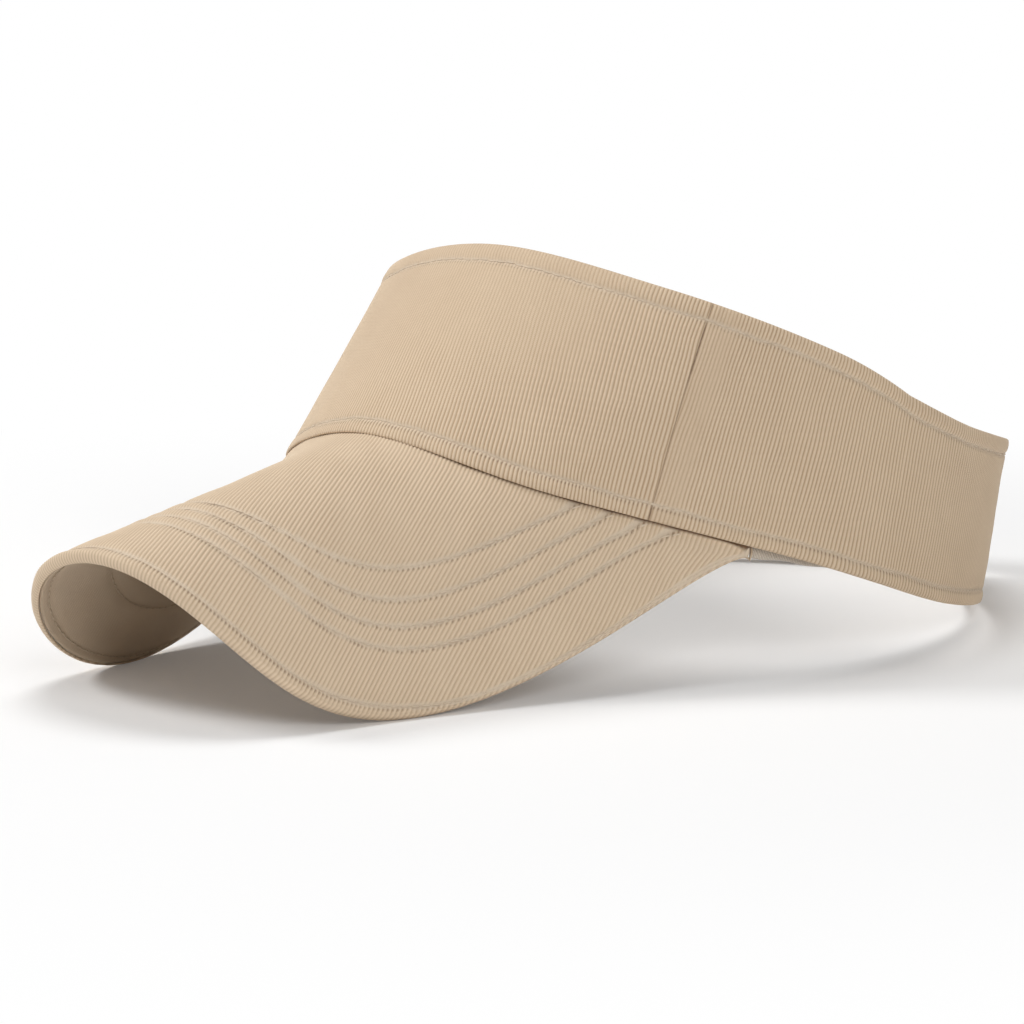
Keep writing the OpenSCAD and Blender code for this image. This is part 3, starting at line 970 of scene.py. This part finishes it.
def cover_ends(u, q):
    """Rows that take the cover from its top to its inner face: round the brim's edge, or up into the
    band at the seam, where it is sewn in."""
    turns = np.linspace(0, math.pi, 8)[1:-1]
    profile = [(HALF_BRIM * math.cos(a), (COVER_T + 0.1) * math.sin(a) ** 0.8) for a in turns]
    profile += [(-HALF_BRIM, 0.25), (-HALF_BRIM + 0.35, -0.25), (0, -0.2), (HALF_BRIM - COVER_T, -0.3)]
    heights, beyond = np.array(profile).T[..., None]
    us, qs = u + 0 * heights, q + 0 * heights
    edge = brim(us, qs, heights + 0 * us, beyond + 0 * us)
    corner = brim(us + np.sign(us) * beyond / WIDTH_PER_U, qs, heights + 0 * us)
    rises = np.interp(np.linspace(0, 1, len(profile)), [0, 0.4, 0.5, 1],
                      [SEAM_FOOT, FLANGE_RISE, FLANGE_RISE, -0.2])
    depths = np.where(np.arange(len(profile)) < len(profile) / 2, FLANGE_D, BRIM_D - 0.05)
    flange = band_at(us * BRIM_SEAM_ANGLE, rises[:, None] + 0 * us, depths[:, None])
    at_seam = qs[..., None] < AT_SEAM
    at_edge = qs[..., None] > 1 - AT_SEAM
    return np.where(at_edge, edge, np.where(at_seam, flange, corner))


def brim_top_cover():
    number, start_u, start_q, end_u = brim_columns()
    start, end = flat(start_u, start_q), laid_edge(end_u)

    def along_ribs(share, shift):
        """Points at a share of the way along each rib: laid out flat, and as u and q."""
        t = start[:, 1] + (end[:, 1] - start[:, 1]) * share
        s = on_rib(number + shift, t)
        return s, t, *solve(start_u + (end_u - start_u) * share, start_q + (1 - start_q) * share, s, t)

    share = np.linspace(0, 1, BRIM_ROWS)[:, None]
    wander = 0.14 * ripple(number, share * 60, 30, 5) * smooth(0, 30, end[:, 1] - start[:, 1])
    s, t, u, q = along_ribs(share, wander * np.sin(math.pi * share))
    u[0], q[0], u[-1], q[-1] = start_u, start_q, end_u, 1.0
    from_seam, from_edge = q * reach(u), (1 - q) * reach(u)
    rib = rib_shape(number)

    sewn_at, side_of_row = from_stitches(u, q)
    sewn = 1 - smooth(0.45, 1.05, sewn_at + 0.12 * ripple(s, t, 9, 12))
    inside = smooth(0, 1.2, from_edge)
    ribs = rib * (1 - 0.94 * sewn) * (0.9 + 0.2 * ripple(number, t, 13, 8))
    swell = 0.14 * smooth(0.5, 3.5, sewn_at) + 0.15 * ripple(s, t, 45, 9) - 0.14 * sewn
    pucker = 0.05 * ripple(s, t, 4.5, 10) * hump(sewn_at, 2.5)
    top = brim(u, q, HALF_BRIM + (swell + pucker) * inside + ribs * BRIM_RELIEF)
    # Near the seam the cloth rises to meet the band's foot
    foot = band_at(u * BRIM_SEAM_ANGLE, SEAM_FOOT + 0 * u, FLANGE_D)
    raised = 1 - smooth(0, 1, from_seam / np.minimum(3.5, 0.7 * reach(u)))
    top = top + (foot - brim(u, 0 * q, HALF_BRIM)) * raised[..., None]

    front_end, back_end = cover_ends(end_u, np.ones_like(end_u)), cover_ends(start_u, start_q)[::-1]
    _, under_t, under_u, under_q = along_ribs(np.linspace(1, 0, 8)[1:-1, None], 0)
    under = brim(under_u, under_q, HALF_BRIM - COVER_T + 0.02)
    grid = np.concatenate([top, front_end, under, back_end])

    colour = np.full(grid.shape[:2], 0.6)
    ditch, pressed = 0 * colour, 0 * colour
    length = np.concatenate([t, t[-1] + 0 * front_end[..., 0], under_t, t[0] + 0 * back_end[..., 0]])
    rows, edge_rows, seam_rows = len(top), slice(len(top), len(top) + len(front_end)), -len(back_end)
    # The brim's top, lip and seam rows are painted lighter than the band (0.9 * rib + 0.16): painted
    # light on the brim's upward face, over the painted groove shade.
    colour[:rows] = colour[edge_rows] = colour[seam_rows:] = 0.9 * rib + 0.16
    # Painted shade: dark dots in the grooves just in front of each row of stitches, fewer near the lip
    # at the brim's sides.
    painted_shade_marks = hump(sewn_at - 1.05, 0.3) * (side_of_row > 0) * (1 - rib) ** 0.7 * 0.9
    painted_shade_marks = painted_shade_marks * (1 - 0.8 * smooth(0.3, 0.5, np.abs(u)) * (from_edge < EDGE_INSET + 1))
    # Painted shade: a dark line where the cover meets the band's lower edge, fading out over 0.9 mm, and
    # on the rows that turn up into the band.
    seam_line_shade = 0.95 * (start_q < AT_SEAM)
    ditch[:rows] = np.maximum(painted_shade_marks, seam_line_shade * (1 - smooth(0, 0.9, from_seam)))
    ditch[seam_rows:] = seam_line_shade
    pressed[:rows] = sewn
    uv = np.stack([number + 0 * length, length], -1)
    piece = loop_piece("brim_top_cloth", grid, RIBBED, uv, rib=colour, sewn=pressed, ditch=ditch)
    fitted(piece, "root", "outer_cloth", "brim_top_cover")


def brim_under_cover():
    u = np.linspace(-BRIM_END, BRIM_END, 301)
    q = np.concatenate([np.linspace(0, 0.4, 10)[:-1], np.linspace(0.4, 0.995, 56)])[:, None]
    us, qs = np.broadcast_arrays(u, q)
    sewn_at, _ = from_stitches(us, qs)
    dip = 0.3 * hump(sewn_at, 0.9) - 0.12 * smooth(0.5, 4, sewn_at) * smooth(0, 0.04, 1 - qs)
    laid = flat(us, qs)
    lower = brim(us, qs, -HALF_BRIM + dip + 0.1 * ripple(laid[..., 0], laid[..., 1], 30, 14))
    back_us, back_qs = np.broadcast_arrays(u, np.linspace(0.995, 0, 6)[:, None])
    upper = brim(back_us, back_qs, -BOARD_T / 2 - 0.03)
    place = np.concatenate([laid, flat(back_us, back_qs)])
    piece = loop_piece("brim_under_cloth", np.concatenate([lower, upper]), UNDER_CLOTH, place)
    fitted(piece, "root", "under_cloth", "brim_under_cover")


# ---- Stitches ----

STITCH_INPUTS = {"Path": "Geometry", "Pitch": "Float", "Length": "Float", "Width": "Float",
                 "Height": "Float", "Seed": "Int", "Thread": "Material"}


def stitch_tree():
    """Lays a stitch at each step along a path whose points carry the cloth's outward direction."""
    group = bpy.data.node_groups.new("stitches", "GeometryNodeTree")
    for key, kind in STITCH_INPUTS.items():
        group.interface.new_socket(key, in_out="INPUT", socket_type="NodeSocket" + kind)
    group.interface.new_socket("Stitches", in_out="OUTPUT", socket_type="NodeSocketGeometry")
    g = Tree(group)
    entry = g.nodes.new("NodeGroupInput").outputs
    given = {key: Value(g, entry[key]) for key in STITCH_INPUTS}

    line = g.node("GeometryNodeMeshToCurve", Mesh=given["Path"])
    steps = g.node("GeometryNodeResampleCurve", {"mode": "LENGTH"}, Curve=line, Length=given["Pitch"])
    ball = g.node("GeometryNodeMeshUVSphere", Segments=7, Rings=6, Radius=0.5)
    from_middle = g.node("ShaderNodeSeparateXYZ", Vector=g.node("GeometryNodeInputPosition"))
    share = from_middle.math("ABSOLUTE")
    # tip runs from 0 at a stitch's middle to 1 at its ends, where the thread material paints shade.
    marked = g.node("GeometryNodeStoreNamedAttribute", {"data_type": "FLOAT", "domain": "POINT"},
                    Geometry=ball, Name="tip", Value=share + share)
    size = g.node("ShaderNodeCombineXYZ", X=given["Length"], Y=given["Width"], Z=given["Height"])
    stitch = g.node("GeometryNodeTransform", Geometry=marked, Scale=size)
    along = g.node("FunctionNodeAlignRotationToVector", {"axis": "X"},
                   Vector=g.node("GeometryNodeInputTangent"))
    outward = g.node("GeometryNodeInputNamedAttribute", {"data_type": "FLOAT_VECTOR"}, Name="outward")
    turned = g.node("FunctionNodeAlignRotationToVector", {"axis": "Z", "pivot_axis": "X"},
                    Rotation=along, Vector=outward)
    uneven = g.node("FunctionNodeRandomValue", {"data_type": "FLOAT"}, Min=0.88, Max=1.1,
                    Seed=given["Seed"])
    laid = g.node("GeometryNodeInstanceOnPoints", Points=steps, Instance=stitch, Rotation=turned,
                  Scale=uneven)
    real = g.node("GeometryNodeRealizeInstances", Geometry=laid)
    finished = g.node("GeometryNodeSetMaterial", Geometry=real, Material=given["Thread"])
    g.set(g.nodes.new("NodeGroupOutput").inputs["Stitches"], finished)
    return group


STITCHES = stitch_tree()


def stitched(name, paths, pitch=3.0, length=2.95, width=0.5, height=0.24, seed=1, thread=THREAD):
    """Stitches along paths, each a pair of head-frame points and the points a little further out."""
    points, edges, outward = [], [], []
    for path, outer in paths:
        path, outer = stand(path), stand(outer)
        first = len(points)
        points += path.tolist()
        outward += unit(outer - path).tolist()
        edges += [(first + n, first + n + 1) for n in range(len(path) - 1)]
    mesh = bpy.data.meshes.new(name + "_path")
    mesh.from_pydata(points, edges, [])
    layer = mesh.attributes.new("outward", "FLOAT_VECTOR", "POINT")
    layer.data.foreach_set("vector", np.array(outward, np.float32).ravel())
    path = placed(name + "_path", mesh)
    modifier = path.modifiers.new("stitches", "NODES")
    modifier.node_group = STITCHES
    values = {"Pitch": pitch * MM, "Length": length * MM, "Width": width * MM, "Height": height * MM,
              "Seed": seed, "Thread": thread}
    for item in STITCHES.interface.items_tree:
        if item.in_out == "INPUT" and item.name in values:
            modifier[item.identifier] = values[item.name]
    evaluated = path.evaluated_get(bpy.context.evaluated_depsgraph_get())
    made = bpy.data.meshes.new_from_object(evaluated)
    bpy.data.objects.remove(path)
    shaded_smooth(made)
    made.name = name
    return placed(name, made)


def brim_stitching():
    sunk = HALF_BRIM - 0.02
    for name, side, thread in (("brim_threads", 1, THREAD), ("brim_under_threads", -1, UNDER_THREAD)):
        paths = []
        for k in range(STITCH_ROWS):
            u = np.linspace(-row_end(k), row_end(k), 241)
            q = np.maximum(row_q(k, u), 0.005)
            paths.append((brim(u, q, side * sunk), brim(u, q, side * (sunk + 1))))
        u = np.linspace(-0.9, 0.9, 401)
        back = -edge_inset(u)
        paths.append((brim(u, 1, side * sunk, back), brim(u, 1, side * (sunk + 1), back)))
        piece = stitched(name, paths, seed=3, thread=thread)
        fitted(piece, "root", "thread", "brim_stitching")


def hem_paths(side, start, end):
    a = np.linspace(start, end, 200)
    paths = []
    for h in (BOTTOM_HEM + hem_wave(a), height_at(a) - TOP_HEM - hem_wave(a)):
        line, outer = band_at(a, h, 0.02), band_at(a, h, -1)
        paths.append((mirrored(line, side), mirrored(outer, side)))
    return paths


def band_stitching():
    piece = stitched("front_hem_threads", hem_paths(1, -SEAM_ANGLE + 0.4, SEAM_ANGLE - 0.4), seed=4)
    fitted(piece, "root", "thread", "front_band_stitching")
    for name, side in SIDES:
        path = hem_paths(side, SEAM_ANGLE - 5.2, END_ANGLE - 0.5)
        piece = stitched(f"{name}_hem_threads", path, seed=5)
        fitted_along(piece, name, "thread", "front_band_stitching", f"{name}_rear_stitching")
    paths = []
    for _, side in SIDES:
        v = np.linspace(0.1, 0.9, 40)
        a = seam_at(v) + 0.1
        paths.append((mirrored(band(a, v, 0.18), side), mirrored(band(a, v, -1), side)))
    piece = stitched("side_seam_threads", paths, pitch=2.4, length=1.7, width=0.26, height=0.2, seed=6,
                     thread=SEAM_THREAD)
    fitted(piece, "root", "thread", "side_seam_stitching")


# ---- Closure ----

RIGHT_END = 360 - END_ANGLE
TAB_START = RIGHT_END - back_angle(0.2)
TAB_TIP = END_ANGLE - back_angle(STRAP_LAP)
TAB_RISE = LOOP_T + CLOSURE_GAP + HOOK_T + LAYER_GAP
TAB_RAMP = back_angle(9)
STRAP_LOW, STRAP_HIGH = STRAP_MID - STRAP_H / 2, STRAP_MID + STRAP_H / 2
BASE_END = RIGHT_END + back_angle(20)
OUTSIDE = -LAYER_GAP - STRAP_T  # depth of the strap's outer face


def tab_off(a):
    past = np.maximum(TAB_START - a, 0)
    return -TAB_RISE * smooth(0, TAB_RAMP, past) - TAB_EASE * past / (TAB_START - TAB_TIP)


def selvedge(arc, heights, from_low, from_high):
    """Webbing: slightly thicker along both edges, with fine cross ribs."""
    cross = 0.03 * np.sin(arc * 2 * math.pi / 1.6)
    return 0.12 * hump(from_low - 1, 0.8) + 0.12 * hump(from_high - 1, 0.8) + cross


def closure():
    strap = strip("closure_strap", 1, TAB_TIP, BASE_END, STRAP_LOW, STRAP_HIGH, OUTSIDE, STRAP_T,
                  WEBBING, rows=14, spacing=0.7, relief=selvedge, off=tab_off)
    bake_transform(strap)
    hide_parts("strap_base", "strap_tab")

    hooks = strip("hook_tape", 1, TAB_TIP + back_angle(1), END_ANGLE - back_angle(1), STRAP_LOW + 1,
                  STRAP_HIGH - 1, 0.0, HOOK_T, HOOKS, rows=10, spacing=1.5, off=tab_off)
    fitted(hooks, "closure_tab", "hook_fabric", "hook_patch")

    loops = strip("loop_tape", 1, TAB_TIP - back_angle(12), END_ANGLE - back_angle(1), STRAP_LOW + 0.5,
                  STRAP_HIGH - 0.5, -LOOP_T - LAYER_GAP, LOOP_T, LOOPS, rows=26, spacing=0.8,
                  relief=gentle(61, 0.1, 3))
    fitted(loops, "left_half", "loop_fabric", "loop_patch")

    inset = 2.5
    first, last = RIGHT_END + back_angle(inset), BASE_END - back_angle(inset)
    low, high = STRAP_LOW + inset, STRAP_HIGH - inset
    corners = [(first, low), (last, low), (last, high), (first, high), (first, low), (last, high)]
    paths = []
    for (a, h), (b, g) in zip(corners, corners[1:]):
        angles, heights = np.linspace(a, b, 30), np.linspace(h, g, 30)
        paths.append((band_at(angles, heights, OUTSIDE - 0.05), band_at(angles, heights, OUTSIDE - 1)))
    box = stitched("strap_box_threads", paths, pitch=2.2, length=1.9, width=0.5, height=0.4, seed=7)
    fitted(box, "right_half", "thread", "strap_box_stitch")


def size_label():
    start = END_ANGLE - back_angle(34)
    piece = strip("bare_label", 1, start, start + back_angle(18), 9, 21,
                  SWEATBAND_D + SWEATBAND_T + LAYER_GAP, 0.3, LABEL, rows=10, spacing=0.8)
    fitted(piece, "left_half", "label", "size_label")


def brim_board():
    materials = frame["nodes"]["brim_board"].data.materials
    materials.clear()
    materials.append(board_plastic())


# ---- Camera, light and floor ----

CAMERA_AZIMUTH, CAMERA_ELEVATION = math.radians(44.393), math.radians(9.198)
CAMERA_AWAY = 1236.5
CAMERA_ASIDE, CAMERA_BELOW = 21.46, 30.41  # from the band's middle to the point it looks at
WORLD_LIGHT = 0.23  # on the objects; the camera sees full white
FLOOR_GREY = 0.94
FLOOR_FADE = (0.2, 0.42)  # metres from the middle over which the floor turns to plain white
FLOOR_GLOW = 0.06
FLOOR_HALF = 12


def camera():
    azimuth, elevation = CAMERA_AZIMUTH, CAMERA_ELEVATION
    back = np.array([math.sin(azimuth) * math.cos(elevation), -math.cos(azimuth) * math.cos(elevation),
                     math.sin(elevation)])
    right = np.array([math.cos(azimuth), math.sin(azimuth), 0])
    up = np.cross(back, right)
    target = np.array([0, -20 + SHIFT, 45 + LIFT]) - CAMERA_ASIDE * right - CAMERA_BELOW * up
    data = bpy.data.cameras.new("camera")
    data.sensor_width, data.lens = 36, 163.6
    data.clip_start, data.clip_end = 0.05, 50
    eye = placed("camera", data)
    aimed(eye, (target + back * CAMERA_AWAY) * MM, (-back).tolist())
    bpy.context.scene.camera = eye


def lamp(name, energy, size, place):
    data = bpy.data.lights.new(name, "AREA")
    data.shape, data.size, data.energy = "DISK", size, energy
    aimed(placed(name, data), place, Vector((0, 0, 0.04)) - Vector(place))


def lights():
    lamp("overhead", 15, 1.1, (-0.3, 0.2, 1.95))
    lamp("key", 23, 0.7, (-1.5, -0.95, 1.35))
    lamp("fill", 13, 0.9, (1.5, -0.8, 0.95))
    world = bpy.data.worlds.new("world")
    bpy.context.scene.world = world
    world.use_nodes = True
    g = Tree(world.node_tree)
    seen = g.ray("Camera").math("MAXIMUM", g.ray("Glossy")).math("MAXIMUM", g.ray("Transmission"))
    background = g.nodes["Background"].inputs
    g.set(background["Color"], (1, 1, 1, 1))
    strength = g.node("ShaderNodeMapRange", None, seen, To_Min=WORLD_LIGHT, To_Max=1.0)
    g.set(background["Strength"], strength)


def floor():
    mesh = bpy.data.meshes.new("floor")
    far = FLOOR_HALF
    corners = [(-far, -far, 0), (far, -far, 0), (far, far, 0), (-far, far, 0)]
    mesh.from_pydata(corners, [], [(0, 1, 2, 3)])
    piece = placed("floor", mesh)
    material = bpy.data.materials.new("floor")
    material.use_nodes = True
    g = Tree(material.node_tree)
    g.nodes.remove(g.nodes["Principled BSDF"])
    place = g.node("ShaderNodeTexCoord", out="Object")
    away = g.node("ShaderNodeVectorMath", {"operation": "LENGTH"}, place, out="Value")
    fade = g.node("ShaderNodeMapRange", {"interpolation_type": "SMOOTHSTEP"}, away, *FLOOR_FADE,
                  FLOOR_GLOW)
    matt = g.node("ShaderNodeBsdfDiffuse", Color=(FLOOR_GREY, FLOOR_GREY, FLOOR_GREY, 1))
    white = g.node("ShaderNodeEmission")
    mixed = g.node("ShaderNodeMixShader", None, fade * g.ray("Camera"), matt, white)
    g.set(g.nodes["Material Output"].inputs["Surface"], mixed)
    mesh.materials.append(material)


camera()
lights()
floor()
front_panel()
side_panels()
front_layers()
side_layers()
sweatband()
brim_top_cover()
brim_under_cover()
brim_board()
brim_stitching()
band_stitching()
closure()
size_label()

bpy.context.scene.view_settings.view_transform = "Standard"
